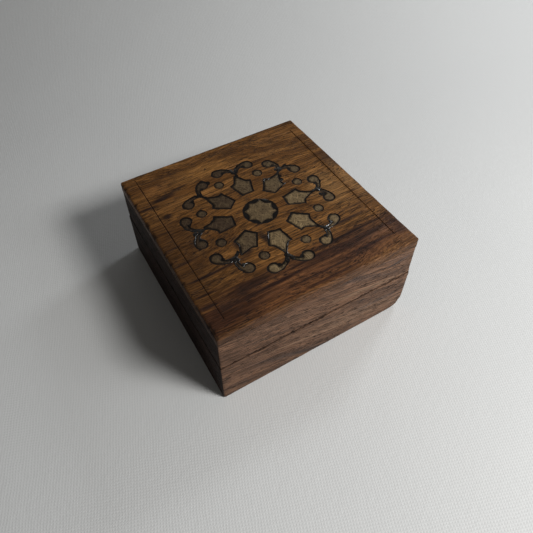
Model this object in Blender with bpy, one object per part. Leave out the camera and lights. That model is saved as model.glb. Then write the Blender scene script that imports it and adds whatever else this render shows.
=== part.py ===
"""A small rosewood keepsake box with a rosette of brass let into its lid.

The box is built as a closed case and then sawn through: mitred walls, a thick top board, a thinner
bottom board between the walls, and two small brass butt hinges that join lid and base at the back.
The rosette is one star, eight leaves, eight pairs of scrolls and eight dots, each a separate brass
piece in a pocket cut into the top board.

Units are metres. +Z is up, +X is along the front, +Y runs to the hinged back. The origin is the
centre of the underside.
"""

import math

import bmesh
import bpy
from mathutils import Matrix, Vector

MM = 0.001

# The case
BOX_WIDTH = 102.0 * MM
BOX_DEPTH = 106.0 * MM
BOX_HEIGHT = 50.2 * MM
SEAM_HEIGHT = 26.5 * MM  # middle of the saw cut between the lid and the base
SAW_CUT = 0.3 * MM
WALL = 7.0 * MM
TOP_THICKNESS = 5.5 * MM
BOTTOM_THICKNESS = 4.0 * MM
TOP_OVERHANG = 0.3 * MM  # the top board stands proud of the right wall by this much
GLUE_GAP = 0.3 * MM
BOARD_ARRIS = 0.7 * MM  # broken upper and corner edges of the top board

# The cut border line on the top board
BORDER_SIDE_INSET = 7.2 * MM
BORDER_END_INSET = 8.8 * MM
BORDER_WIDTH = 0.8 * MM
BORDER_DEPTH = 0.6 * MM
BORDER_DEPTH_STEP = 0.02 * MM  # each of the four lines is this much deeper than the one before

# The brass rosette, from its middle outwards. A spray is one leaf with its two scrolls.
ROSETTE_X = -0.8 * MM
ROSETTE_Y = -1.2 * MM
SPRAYS = 8
ROSETTE_TURN = -4.5  # degrees
INLAY_SINK = 0.15 * MM  # brass surface below the wood
BED = 0.3 * MM  # mastic under each brass piece
LEAF_POCKET = 1.6 * MM  # depths of the pockets
SCROLL_POCKET = 1.5 * MM
DOT_POCKET = 1.4 * MM
CHANNEL_POCKET = 1.2 * MM
POCKET_STEP = 0.1 * MM  # the right scroll of a pair lies this much less deep than the left one
STAR_MARGIN = 0.6 * MM  # mastic line round the brass
LEAF_MARGIN = 0.75 * MM
SCROLL_MARGIN = 0.6 * MM
DOT_MARGIN = 0.35 * MM

STAR_POCKET_RADIUS = 8.4 * MM
STAR_POINTS = 8
STAR_NOTCH = 1.7 * MM

LEAF_BASE = STAR_POCKET_RADIUS + 5.2 * MM  # radius of the leaf's foot
LEAF_BARB = LEAF_BASE + 8.5 * MM
LEAF_SHOULDER = LEAF_BARB + 1.0 * MM
LEAF_TIP = LEAF_SHOULDER + 5.3 * MM
LEAF_BASE_HALF = 3.2 * MM
LEAF_BARB_HALF = 5.8 * MM
LEAF_SHOULDER_HALF = 3.5 * MM
LEAF_WAIST_HALF = 1.85 * MM  # halfway from the shoulder to the tip
LEAF_TIP_HALF = 0.5 * MM

SCROLL_ROOT = LEAF_TIP + 1.8 * MM
SCROLL_NECK = 2.2 * MM
SCROLL_HEAD_OUT = SCROLL_ROOT + 3.7 * MM  # the middle of the scroll's round head
SCROLL_HEAD_SIDE = 7.9 * MM  # and how far it is to the side of its spray
SCROLL_HEAD_RADIUS = 3.0 * MM
SCROLL_CURL = 230  # degrees of the head's rim from its outermost point to the notch
NOTCH_IN = 3.5 * MM  # from the head's outermost point in to the notch
NOTCH_SIDE = 2.7 * MM  # from the head's middle back to the notch
NECK_COVERED = 0.3  # share of a scroll's neck where mastic alone fills the pocket

CHANNEL_HALF = 0.7 * MM
CHANNEL_OVERLAP = 1.5 * MM  # how far the channel runs into the leaf's pocket
DOT_RADIUS = 2.5 * MM  # of the pocket
DOT_CIRCLE = LEAF_BARB + 5.1 * MM
CURVE_STEPS = 5
ARC_STEPS = 7

# The rosette was set out by hand. Each row is one spray, from the right and anticlockwise. It says
# how far four angles are from even, in degrees: the spray's own, its leaf's lean, and the swing of
# its left and right scrolls. Then it says how far three pieces are pushed outwards, in millimetres:
# the left scroll, the right scroll and the dot that follows the spray.
HAND_LAYOUT = (
    (2.0, -3.0, -1.0, 1.0, -0.4, -0.5, 0.2),
    (1.0, 0.0, -1.0, 1.5, -0.3, 0.0, 0.1),
    (1.0, 2.0, -0.5, -2.0, -0.2, -0.2, 0.4),
    (0.5, 0.0, -1.5, 0.0, 0.0, -0.8, 0.6),
    (-2.0, -6.0, 1.0, 0.0, -1.2, 0.6, -0.7),
    (1.5, 2.0, -4.0, -3.0, -0.1, 0.2, 0.3),
    (-2.0, -3.0, 0.0, -1.5, -0.4, 0.2, 0.0),
    (0.0, -5.0, -2.5, -0.5, -0.4, -0.2, 0.2),
)

# The hinges
HINGE_FROM_SIDE = 23.0 * MM  # side of the box to the middle of a hinge
HINGE_LENGTH = 20.0 * MM
LEAF_PLATE = 0.8 * MM
LEAF_WIDTH = 5.0 * MM  # of the part that lies in the wall
BARREL_RADIUS = 1.4 * MM
PIN_RADIUS = 0.62 * MM
PIN_CLEARANCE = 0.08 * MM
PIN_HEAD_RADIUS = 1.0 * MM
PIN_END_RADIUS = 0.6 * MM  # of the rounded head's flat end
PIN_HEAD = 0.4 * MM
KNUCKLE_GAP = 0.2 * MM
FIT_GAP = 0.15 * MM
SCREW_SPACING = 12.0 * MM
SCREW_HEAD_RADIUS = 1.3 * MM
SCREW_HEAD_DEPTH = 0.7 * MM
SCREW_SHANK_RADIUS = 0.6 * MM
SCREW_LENGTH = 5.5 * MM
SCREW_POINT = 1.2 * MM
SCREW_SLOT = 0.4 * MM
ROUND_STEPS = 16
OVERCUT = 1.0 * MM  # how far a cutter runs past the face it opens
EPSILON = 0.001 * MM

# Worked-out levels and places
BASE_RIM = SEAM_HEIGHT - SAW_CUT / 2
LID_RIM = SEAM_HEIGHT + SAW_CUT / 2
TOP_UNDERSIDE = BOX_HEIGHT - TOP_THICKNESS
LID_WALL_HEAD = TOP_UNDERSIDE - GLUE_GAP
BACK = BOX_DEPTH / 2
HINGE_AXIS = Vector((0.0, BACK + FIT_GAP + BARREL_RADIUS, SEAM_HEIGHT))
HINGE_X = BOX_WIDTH / 2 - HINGE_FROM_SIDE
HINGE_PLACES = (("left", -HINGE_X), ("right", HINGE_X))


def clear_scene():
    for obj in list(bpy.data.objects):
        bpy.data.objects.remove(obj, do_unlink=True)


# Materials


def material(name, colour, roughness, metallic=0.0):
    made = bpy.data.materials.new(name)
    made.use_nodes = True
    shader = made.node_tree.nodes["Principled BSDF"]
    shader.inputs["Base Color"].default_value = (*colour, 1.0)
    shader.inputs["Roughness"].default_value = roughness
    shader.inputs["Metallic"].default_value = metallic
    return made


# Small modelling helpers


def add_object(name, built, finish=None):
    """Links a new object that takes the bmesh as its mesh."""
    mesh = bpy.data.meshes.new(name)
    built.to_mesh(mesh)
    built.free()
    obj = bpy.data.objects.new(name, mesh)
    bpy.context.scene.collection.objects.link(obj)
    if finish:
        mesh.materials.append(finish)
    return obj


def add_sides(built, start, end):
    """Joins two rings of corners that run the same way round, anticlockwise seen from the end."""
    for i in range(len(start)):
        j = (i + 1) % len(start)
        built.faces.new((start[i], start[j], end[j], end[i]))


def add_prism(built, outline, low, high):
    """Adds an upright prism over an anticlockwise outline of (x, y) points."""
    floor = [built.verts.new((x, y, low)) for x, y in outline]
    roof = [built.verts.new((x, y, high)) for x, y in outline]
    built.faces.new(floor[::-1])
    built.faces.new(roof)
    add_sides(built, floor, roof)


def prism(outline, low, high):
    built = bmesh.new()
    add_prism(built, outline, low, high)
    return built


def block(low, high):
    """A box between two corners."""
    (x0, y0, z0), (x1, y1, z1) = low, high
    return prism([(x0, y0), (x1, y0), (x1, y1), (x0, y1)], z0, z1)


def turned(profile, steps=ROUND_STEPS):
    """A solid turned about Z from (radius, height) points that start and end on the axis."""
    built = bmesh.new()
    rings = []
    for radius, height in profile:
        if radius == 0:
            rings.append([built.verts.new((0, 0, height))])
            continue
        angles = [math.tau * i / steps for i in range(steps)]
        ring = [(radius * math.cos(a), radius * math.sin(a), height) for a in angles]
        rings.append([built.verts.new(point) for point in ring])
    for lower, upper in zip(rings, rings[1:]):
        for i in range(steps):
            j = (i + 1) % steps
            corners = [lower[i % len(lower)], lower[j % len(lower)]]
            corners += [upper[j % len(upper)], upper[i % len(upper)]]
            built.faces.new(list(dict.fromkeys(corners)))
    return built


def cylinder_along_x(radius, x0, x1, centre):
    built = turned([(0, x0), (radius, x0), (radius, x1), (0, x1)])
    built.transform(Matrix.Rotation(math.radians(90), 4, "Y"))
    built.transform(Matrix.Translation((0, centre.y, centre.z)))
    return built


def boolean(obj, other, operation="DIFFERENCE"):
    """Cuts the other object from obj, or joins it on, and keeps the other one as a hidden guide."""
    other.hide_render = True
    other.display_type = "WIRE"
    modifier = obj.modifiers.new(other.name, "BOOLEAN")
    modifier.object = other
    modifier.operation = operation
    modifier.solver = "EXACT"


def break_edges(built, width, level):
    """Rounds off every edge of a block that touches the level, which leaves its far side sharp."""
    edges = [edge for edge in built.edges if any(abs(v.co.z - level) < EPSILON for v in edge.verts)]
    bmesh.ops.bevel(built, geom=edges, offset=width, segments=2, profile=0.5, affect="EDGES")
    return built


# Outlines in the plane of the lid. Local outlines have +X along the spray, out from the centre.


def placed(outline, degrees):
    """Turns a local outline about the rosette's centre and moves it onto the lid."""
    turn = math.radians(degrees)
    cos, sin = math.cos(turn), math.sin(turn)
    return [(ROSETTE_X + x * cos - y * sin, ROSETTE_Y + x * sin + y * cos) for x, y in outline]


def leaning(outline, degrees, pivot_x):
    """Turns a local outline about a point on its own axis."""
    turn = math.radians(degrees)
    cos, sin = math.cos(turn), math.sin(turn)
    shifted = [(x - pivot_x, y) for x, y in outline]
    return [(pivot_x + x * cos - y * sin, x * sin + y * cos) for x, y in shifted]


def inset(outline, distance):
    """Moves each side of an anticlockwise outline inwards by distance.

    At a very sharp corner the corner itself moves at most twice that far."""
    moved = []
    count = len(outline)
    for i, point in enumerate(outline):
        here = Vector(point)
        before = (here - Vector(outline[i - 1])).normalized()
        after = (Vector(outline[(i + 1) % count]) - here).normalized()
        normal = Vector((-before.y, before.x))
        middle = (normal + Vector((-after.y, after.x))).normalized()
        moved.append(tuple(here + middle * distance / max(0.5, middle.dot(normal))))
    return moved


def circle(radius, centre_x=0.0, steps=ROUND_STEPS):
    angles = [math.tau * i / steps for i in range(steps)]
    return [(centre_x + radius * math.cos(a), radius * math.sin(a)) for a in angles]


def star_outline():
    """Short points at the dots' angles, with a notch facing each leaf."""
    outline = []
    tip = STAR_POCKET_RADIUS - STAR_MARGIN
    for i in range(STAR_POINTS * 2):
        radius = tip if i % 2 else tip - STAR_NOTCH
        angle = math.tau * i / (STAR_POINTS * 2)
        outline.append((radius * math.cos(angle), radius * math.sin(angle)))
    return outline


def leaf_outline(lean):
    """A tulip-shaped leaf: a narrow foot, two barbs, and a tip that points outwards."""
    half = [
        (LEAF_BASE, LEAF_BASE_HALF),
        (LEAF_BARB, LEAF_BARB_HALF),
        (LEAF_SHOULDER, LEAF_SHOULDER_HALF),
        ((LEAF_SHOULDER + LEAF_TIP) / 2, LEAF_WAIST_HALF),
        (LEAF_TIP, LEAF_TIP_HALF),
    ]
    lower = [(x, -y) for x, y in half]
    return leaning(lower + half[::-1], lean, (LEAF_BASE + LEAF_TIP) / 2)


def bezier(start, start_pull, end_pull, end, first=0.0, last=1.0):
    """Points on a cubic curve, from the share first to the share last of it."""
    points = []
    for i in range(CURVE_STEPS + 1):
        t = first + (last - first) * i / CURVE_STEPS
        s = 1 - t
        points.append(s**3 * start + 3 * s * s * t * start_pull + 3 * s * t * t * end_pull + t**3 * end)
    return points


def scroll_outline(side, neck_from=0.0, out=0.0):
    """One comma-shaped scroll: a neck that rises from the leaf's tip and curls into a round head.

    side is 1 for the scroll on the +Y side of its spray and -1 for the mirrored one. neck_from
    leaves out that share of the neck at the root, and out moves the whole scroll outwards."""
    head = Vector((SCROLL_HEAD_OUT, SCROLL_HEAD_SIDE))
    crest = head + Vector((SCROLL_HEAD_RADIUS, 0))
    notch = Vector((crest.x - NOTCH_IN, head.y - NOTCH_SIDE))
    crotch = Vector((SCROLL_ROOT + SCROLL_NECK / 2, -SCROLL_NECK / 4))
    root = Vector((SCROLL_ROOT - SCROLL_NECK / 4, SCROLL_NECK / 3))
    crotch_pull = crotch + Vector((SCROLL_NECK * 1.2, SCROLL_NECK / 4))
    crest_pull = crest - Vector((0, SCROLL_HEAD_RADIUS * 1.2))
    notch_pull = notch - Vector((0, SCROLL_NECK * 0.7))
    root_pull = root + Vector((SCROLL_NECK, SCROLL_NECK / 3))
    outer = bezier(crotch, crotch_pull, crest_pull, crest, first=neck_from)
    inner = bezier(notch, notch_pull, root_pull, root, last=1 - neck_from)
    rim = []
    for i in range(1, ARC_STEPS + 1):
        angle = math.radians(SCROLL_CURL * i / ARC_STEPS)
        rim.append(head + SCROLL_HEAD_RADIUS * Vector((math.cos(angle), math.sin(angle))))
    outline = [(p.x + out, p.y) for p in outer + rim + inner]
    if side < 0:
        outline = [(x, -y) for x, y in reversed(outline)]
    return outline


def layout(index):
    """One spray's angle, its leaf's lean, and the angle and push of its scrolls by side."""
    turn, lean, left, right, left_out, right_out, _ = HAND_LAYOUT[index % len(HAND_LAYOUT)]
    angle = ROSETTE_TURN + 360 / SPRAYS * index + turn
    return angle, lean, {1: (angle + left, left_out * MM), -1: (angle + right, right_out * MM)}


def dot_place(index, radius):
    """The outline of the dot that lies between a spray and the next one."""
    out = HAND_LAYOUT[index % len(HAND_LAYOUT)][-1] * MM
    return placed(circle(radius, DOT_CIRCLE + out), ROSETTE_TURN + 360 / SPRAYS * (index + 0.5))


# The case


def wall_planes():
    """The places of the left, right, front and back outer faces."""
    return -BOX_WIDTH / 2, BOX_WIDTH / 2 - TOP_OVERHANG, -BOX_DEPTH / 2, BACK


def wall_outlines():
    """Each wall's plan, mitred at both ends, with half a glue gap taken off every mitre."""
    left, right, front, back = wall_planes()
    ease = GLUE_GAP / 2 * math.sqrt(2)
    return {
        "front": [
            (left + ease, front),
            (right - ease, front),
            (right - WALL - ease, front + WALL),
            (left + WALL + ease, front + WALL),
        ],
        "back": [
            (left + WALL + ease, back - WALL),
            (right - WALL - ease, back - WALL),
            (right - ease, back),
            (left + ease, back),
        ],
        "left": [
            (left, front + ease),
            (left + WALL, front + WALL + ease),
            (left + WALL, back - WALL - ease),
            (left, back - ease),
        ],
        "right": [
            (right, front + ease),
            (right, back - ease),
            (right - WALL, back - WALL - ease),
            (right - WALL, front + WALL + ease),
        ],
    }


def build_walls(wood):
    """The eight wall boards. Returns the two back boards, which the hinges are let into."""
    walls = {}
    for place, outline in wall_outlines().items():
        for owner, foot, head in (("base", 0, BASE_RIM), ("lid", LID_RIM, LID_WALL_HEAD)):
            board = prism(outline, foot, head)
            walls[owner, place] = add_object(f"{owner}_{place}_wall", board, wood)
    return walls["base", "back"], walls["lid", "back"]


def build_bottom(wood):
    """The bottom board lies between the walls, flush with their feet."""
    left, right, front, back = wall_planes()
    step = WALL + GLUE_GAP
    low = (left + step, front + step, 0)
    high = (right - step, back - step, BOTTOM_THICKNESS)
    add_object("base_bottom_board", block(low, high), wood)


def border_cutters():
    """Four V-shaped bars that cut the border line. They run on a little past the corners."""
    half_x = BOX_WIDTH / 2 - BORDER_SIDE_INSET
    half_y = BOX_DEPTH / 2 - BORDER_END_INSET
    spread = BORDER_WIDTH / 2 * (BORDER_DEPTH + OVERCUT) / BORDER_DEPTH
    runs = (("back", half_x, half_y, 0), ("left", half_y, half_x, 90))
    runs += (("front", half_x, half_y, 180), ("right", half_y, half_x, 270))
    for number, (place, half_length, offset, degrees) in enumerate(runs):
        built = bmesh.new()
        depth = BORDER_DEPTH + number * BORDER_DEPTH_STEP
        section = ((offset, -depth), (offset + spread, OVERCUT), (offset - spread, OVERCUT))
        reach = half_length + BORDER_WIDTH / 2
        start = [built.verts.new((-reach, y, z)) for y, z in section]
        end = [built.verts.new((reach, y, z)) for y, z in section]
        built.faces.new(start[::-1])
        built.faces.new(end)
        add_sides(built, start, end)
        built.transform(Matrix.Rotation(math.radians(degrees), 4, "Z"))
        built.transform(Matrix.Translation((0, 0, BOX_HEIGHT)))
        yield add_object(f"border_cutter_{place}", built)


def pocket_cutter(name, outlines, depth):
    """One cutter for pockets that don't touch each other."""
    built = bmesh.new()
    for outline in outlines:
        add_prism(built, outline, BOX_HEIGHT - depth, BOX_HEIGHT + OVERCUT)
    return add_object(name, built)


def channel_outline():
    """The narrow groove that joins a leaf's tip to the root of its scrolls."""
    start = LEAF_TIP - CHANNEL_OVERLAP
    end = SCROLL_ROOT + SCROLL_NECK / 2
    half = CHANNEL_HALF
    return [(start, -half), (end, -half), (end, half), (start, half)]


def rosette_cutters():
    leaves, dots, channels = [], [], []
    scrolls = {1: [], -1: []}
    for index in range(SPRAYS):
        angle, lean, pair = layout(index)
        leaves.append(placed(leaf_outline(lean), angle))
        channels.append(placed(channel_outline(), (pair[1][0] + pair[-1][0]) / 2))
        dots.append(dot_place(index, DOT_RADIUS))
        for side, (swung, out) in pair.items():
            scrolls[side].append(placed(scroll_outline(side, out=out), swung))
    star = placed(circle(STAR_POCKET_RADIUS, steps=2 * ROUND_STEPS), 0)
    yield pocket_cutter("leaf_pockets", leaves, LEAF_POCKET)
    yield pocket_cutter("dot_and_star_pockets", [*dots, star], DOT_POCKET)
    yield pocket_cutter("left_scroll_pockets", scrolls[1], SCROLL_POCKET)
    yield pocket_cutter("right_scroll_pockets", scrolls[-1], SCROLL_POCKET - POCKET_STEP)
    yield pocket_cutter("channel_pockets", channels, CHANNEL_POCKET)


def build_top_board(wood):
    low = (-BOX_WIDTH / 2, -BOX_DEPTH / 2, TOP_UNDERSIDE)
    high = (BOX_WIDTH / 2, BOX_DEPTH / 2, BOX_HEIGHT)
    shape = break_edges(block(low, high), BOARD_ARRIS, BOX_HEIGHT)
    board = add_object("lid_top_board", shape, wood)
    for cutter in (*border_cutters(), *rosette_cutters()):
        boolean(board, cutter)


# The inlay


def inlay(name, outline, pocket_depth, brass):
    """A flat brass piece that lies on the mastic bed, a little below the wood."""
    low = BOX_HEIGHT - pocket_depth + BED
    return add_object(name, prism(outline, low, BOX_HEIGHT - INLAY_SINK), brass)


def build_inlay(brass):
    inlay("star_inlay", placed(star_outline(), ROSETTE_TURN), DOT_POCKET, brass)
    for index in range(SPRAYS):
        number = index + 1
        angle, lean, pair = layout(index)
        leaf = placed(inset(leaf_outline(lean), LEAF_MARGIN), angle)
        inlay(f"leaf_inlay_{number}", leaf, LEAF_POCKET, brass)
        for side, (swung, out) in pair.items():
            scroll = inset(scroll_outline(side, NECK_COVERED, out), SCROLL_MARGIN)
            depth = SCROLL_POCKET if side > 0 else SCROLL_POCKET - POCKET_STEP
            hand = "left" if side > 0 else "right"
            inlay(f"scroll_inlay_{number}_{hand}", placed(scroll, swung), depth, brass)
        inlay(f"dot_inlay_{number}", dot_place(index, DOT_RADIUS - DOT_MARGIN), DOT_POCKET, brass)


# The hinges


def knuckle_spans(x, owner):
    """The barrel is cut into three: the base leaf has the outer two, the lid leaf the middle."""
    start, end = x - HINGE_LENGTH / 2, x + HINGE_LENGTH / 2
    half = HINGE_LENGTH / 6
    if owner == "lid":
        return [(x - half + KNUCKLE_GAP / 2, x + half - KNUCKLE_GAP / 2)]
    return [(start, x - half - KNUCKLE_GAP / 2), (x + half + KNUCKLE_GAP / 2, end)]


def leaf_levels(owner):
    """The face of the leaf that lies on the seam, and the way from it into the wood: down or up."""
    return (BASE_RIM, -1) if owner == "base" else (LID_RIM, 1)


def stand_screw(built, owner, x):
    """Moves a screw-shaped solid that points down from the origin onto its leaf."""
    if owner == "lid":
        built.transform(Matrix.Rotation(math.pi, 4, "X"))
    built.transform(Matrix.Translation((x, BACK - LEAF_WIDTH / 2, leaf_levels(owner)[0])))
    return built


def screw_hole_cutter(name, owner, x):
    """Opens the countersink in the leaf and the pilot hole in the wall behind it."""
    head = SCREW_HEAD_RADIUS + FIT_GAP
    shank = SCREW_SHANK_RADIUS + FIT_GAP
    depth = SCREW_LENGTH + GLUE_GAP
    profile = [(0, -depth), (shank, -depth), (shank, -SCREW_HEAD_DEPTH)]
    profile += [(head, 0), (head, OVERCUT), (0, OVERCUT)]
    return add_object(name, stand_screw(turned(profile), owner, x))


def build_screw(name, owner, x, brass):
    """A countersunk screw with a slot. Its head lies a little below the leaf's face."""
    top = -FIT_GAP / 2
    shank_end = SCREW_POINT - SCREW_LENGTH
    profile = [(0, -SCREW_LENGTH), (SCREW_SHANK_RADIUS, shank_end)]
    profile += [(SCREW_SHANK_RADIUS, -SCREW_HEAD_DEPTH), (SCREW_HEAD_RADIUS, top), (0, top)]
    screw = add_object(name, stand_screw(turned(profile), owner, x), brass)
    reach = 2 * SCREW_HEAD_RADIUS
    slot = block((-reach, -SCREW_SLOT / 2, top - SCREW_SLOT), (reach, SCREW_SLOT / 2, OVERCUT))
    boolean(screw, add_object(f"{name}_slot", stand_screw(slot, owner, x)))


def build_hinge_leaf(name, owner, x, brass):
    """A plate in the wall's rim that ends in its knuckles, bored for the pin."""
    face, inwards = leaf_levels(owner)
    low, high = sorted((face, face + inwards * LEAF_PLATE))
    start, end = x - HINGE_LENGTH / 2, x + HINGE_LENGTH / 2
    plate = block((start, BACK - LEAF_WIDTH, low), (end, BACK, high))
    leaf = add_object(name, plate, brass)
    reach = HINGE_AXIS.y - (PIN_RADIUS + BARREL_RADIUS) / 2
    for number, (x0, x1) in enumerate(knuckle_spans(x, owner), 1):
        tongue = block((x0, BACK - OVERCUT, low), (x1, reach, high))
        boolean(leaf, add_object(f"{name}_tongue_{number}", tongue), "UNION")
        barrel = cylinder_along_x(BARREL_RADIUS, x0, x1, HINGE_AXIS)
        boolean(leaf, add_object(f"{name}_barrel_{number}", barrel), "UNION")
    bore = cylinder_along_x(PIN_RADIUS + PIN_CLEARANCE, start - OVERCUT, end + OVERCUT, HINGE_AXIS)
    boolean(leaf, add_object(f"{name}_bore", bore))
    return leaf


def build_pin(name, x, brass):
    """A straight pin with a small head at each end."""
    half = HINGE_LENGTH / 2 + FIT_GAP
    end = half + PIN_HEAD
    profile = [(0, -end), (PIN_END_RADIUS, -end), (PIN_HEAD_RADIUS, -half - PIN_HEAD / 2)]
    profile += [(PIN_HEAD_RADIUS, -half), (PIN_RADIUS, -half)]
    profile += [(radius, -height) for radius, height in reversed(profile)]
    built = turned(profile)
    built.transform(Matrix.Rotation(math.radians(90), 4, "Y"))
    built.transform(Matrix.Translation((x, HINGE_AXIS.y, HINGE_AXIS.z)))
    add_object(name, built, brass)


def mortise_cutter(name, owner, x):
    """The shallow seat for a hinge leaf, open at the rim and at the back face."""
    face, inwards = leaf_levels(owner)
    low, high = sorted((face - inwards * OVERCUT, face + inwards * (LEAF_PLATE + GLUE_GAP)))
    half = HINGE_LENGTH / 2 + GLUE_GAP
    seat = block((x - half, BACK - LEAF_WIDTH - GLUE_GAP, low), (x + half, BACK + OVERCUT, high))
    return add_object(name, seat)


def build_hinges(base_wall, lid_wall, brass):
    for hand, x in HINGE_PLACES:
        for owner, wall in (("base", base_wall), ("lid", lid_wall)):
            leaf = build_hinge_leaf(f"{hand}_hinge_{owner}_leaf", owner, x, brass)
            boolean(wall, mortise_cutter(f"{hand}_{owner}_mortise", owner, x))
            for number, screw_x in enumerate((x - SCREW_SPACING / 2, x + SCREW_SPACING / 2), 1):
                name = f"{hand}_hinge_{owner}_screw_{number}"
                hole = screw_hole_cutter(f"{name}_hole", owner, screw_x)
                boolean(leaf, hole)
                boolean(wall, hole)
                build_screw(name, owner, screw_x, brass)
        build_pin(f"{hand}_hinge_pin", x, brass)


def hang_on_hinge_axis():
    """Parents the lid's pieces to an empty on the hinge line, so that turning it opens the box."""
    hinge = bpy.data.objects.new("lid_hinge_axis", None)
    hinge.location = HINGE_AXIS
    bpy.context.scene.collection.objects.link(hinge)
    bpy.context.view_layer.update()
    for obj in bpy.data.objects:
        if obj.hide_render or obj.type != "MESH":
            continue
        if obj.name.startswith("lid_") or "inlay" in obj.name or "_lid_" in obj.name:
            obj.parent = hinge
            obj.matrix_parent_inverse = hinge.matrix_world.inverted()


def main():
    clear_scene()
    wood = material("rosewood", (0.16, 0.085, 0.05), 0.5)
    outside = material("rosewood_top", (0.22, 0.11, 0.05), 0.45)
    brass = material("inlay_brass", (0.25, 0.2, 0.13), 0.5, 0.8)
    hinge_brass = material("hinge_brass", (0.5, 0.37, 0.16), 0.35, 1.0)
    base_back, lid_back = build_walls(wood)
    build_bottom(wood)
    build_top_board(outside)
    build_inlay(brass)
    build_hinges(base_back, lid_back, hinge_brass)
    hang_on_hinge_axis()


main()
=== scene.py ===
"""The looks of a small square rosewood box with a brass rosette let into its lid."""
import math

import bmesh
import bpy
import numpy as np
from mathutils import Euler, Matrix, Vector, geometry, noise


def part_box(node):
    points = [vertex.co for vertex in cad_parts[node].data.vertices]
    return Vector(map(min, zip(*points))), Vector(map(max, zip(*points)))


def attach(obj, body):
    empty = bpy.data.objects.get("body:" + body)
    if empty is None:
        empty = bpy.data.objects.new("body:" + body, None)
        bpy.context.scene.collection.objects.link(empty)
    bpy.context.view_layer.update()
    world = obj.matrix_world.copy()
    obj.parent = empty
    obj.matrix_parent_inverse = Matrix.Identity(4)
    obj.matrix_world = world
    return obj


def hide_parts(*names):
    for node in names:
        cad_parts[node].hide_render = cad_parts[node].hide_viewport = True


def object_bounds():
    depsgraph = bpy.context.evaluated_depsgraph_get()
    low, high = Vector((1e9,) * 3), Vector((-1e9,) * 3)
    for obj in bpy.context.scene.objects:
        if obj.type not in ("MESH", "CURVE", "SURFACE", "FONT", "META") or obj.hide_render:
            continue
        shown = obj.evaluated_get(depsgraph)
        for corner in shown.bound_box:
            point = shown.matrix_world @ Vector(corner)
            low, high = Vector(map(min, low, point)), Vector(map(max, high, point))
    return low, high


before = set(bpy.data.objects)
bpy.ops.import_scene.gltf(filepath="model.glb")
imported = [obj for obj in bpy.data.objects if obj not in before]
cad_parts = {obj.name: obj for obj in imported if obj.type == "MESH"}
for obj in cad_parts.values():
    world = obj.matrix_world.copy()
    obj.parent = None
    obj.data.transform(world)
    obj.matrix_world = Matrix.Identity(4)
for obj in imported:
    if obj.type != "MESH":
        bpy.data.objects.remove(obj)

cad_box = [list(corner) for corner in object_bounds()]


# ---- Walls of the base ----
# Four boards of open-grained rosewood, 7 mm thick, glued at mitres into a frame. The whole box was
# glued up shut and the lid sawn off it, so the rims at the seam are thin, dry and chipped.

# Sizes are in millimetres here and below.
SEAM = 26.5
SAW_CUT = 0.3
BASE_HEAD = SEAM - SAW_CUT / 2
WALL = 7.0
WALL_ROWS = (0.8, 2.0, 2.6)  # between points, along a wall, through it and up it
GLUE_LINE = 0.03  # left between boards that are glued
SKIN = 0.02  # how far worn wood stays inside the box that it was cut to
BASE_FOOT_WEAR = 1.1
WORN_FOOT_CORNER = 2.4  # more wear, at the front right corner of the foot only
FOOT_CORNER_ZONE = (96.0, 104.0)  # x minus y, up to that corner
CORNER_WEAR = 0.7
RIM_WEAR = 0.28
CHIP = 0.9
FOOT_ZONE = (1.0, 7.0)  # heights over which the wear of the foot fades out
RIM_ZONE = (1.2, 4.5)  # distances from the seam over which the wear of the rims fades out
SEAM_DAMAGE = (0.7, 1.6)  # the same, for broken wood
SEAM_DARK_BAND = (0.2, 0.75)  # the same, for a dark band right along the seam
CHIPPED_RUNS = ((-9.0, 18.0), (23.5, 3.0), (41.0, 6.0))  # along the front: middle, half length
BASE_RIGHT_STEP = 0.3  # the base's right side stands in by this
FACE_ZONE = (47.0, 50.0)  # from the middle, where inside turns into outside
NEAR_EDGE = (0.0, 0.12, 0.3, 0.55, 0.9, 1.4, 2.1, 3.2)  # rows of points beside an edge

low_corner, high_corner = (np.array(corner) * 1000.0 for corner in cad_box)
BOX_HIGH = np.array((high_corner[0], -low_corner[1], high_corner[2]))
BOX_LOW = np.array((low_corner[0], low_corner[1], 0.0))


def stations(low, high, step):
    """Places along an edge, close together near both ends."""
    ends = [near for near in NEAR_EDGE if near < (high - low) / 2 - 0.2]
    count = max(1, round((high - low - 2 * ends[-1]) / step))
    middle = np.linspace(low + ends[-1], high - ends[-1], count + 1)[1:-1]
    return [low + e for e in ends] + list(middle) + [high - e for e in reversed(ends)]


def lattice(us, vs, ws):
    """The skin of a block as quads, with a row of points at each station."""
    stations_of = (us, vs, ws)
    numbers = {}
    points = []
    faces = []

    def corner(key):
        if key not in numbers:
            numbers[key] = len(points)
            points.append([stations_of[axis][key[axis]] for axis in range(3)])
        return numbers[key]

    for axis in range(3):
        first, second = (axis + 1) % 3, (axis + 2) % 3
        for end in (0, len(stations_of[axis]) - 1):
            for i in range(len(stations_of[first]) - 1):
                for j in range(len(stations_of[second]) - 1):
                    ring = []
                    for step_i, step_j in ((0, 0), (1, 0), (1, 1), (0, 1)):
                        key = [0, 0, 0]
                        key[axis], key[first], key[second] = end, i + step_i, j + step_j
                        ring.append(corner(tuple(key)))
                    faces.append(ring if end else ring[::-1])
    return np.array(points), faces


def wander(points, size, seed=0.0):
    """Smooth noise from -1 to 1 that changes over about `size` millimetres, its own for each seed."""
    size = np.broadcast_to(np.asarray(size, float), (3,))
    return np.array([noise.noise(Vector(p / size) + Vector((seed, seed * 1.7, 0))) for p in points])


def smooth_step(value, start, end):
    """0 at start, 1 at end, and smooth between them."""
    t = np.clip((value - start) / (end - start), 0.0, 1.0)
    return t * t * (3 - 2 * t)


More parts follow.
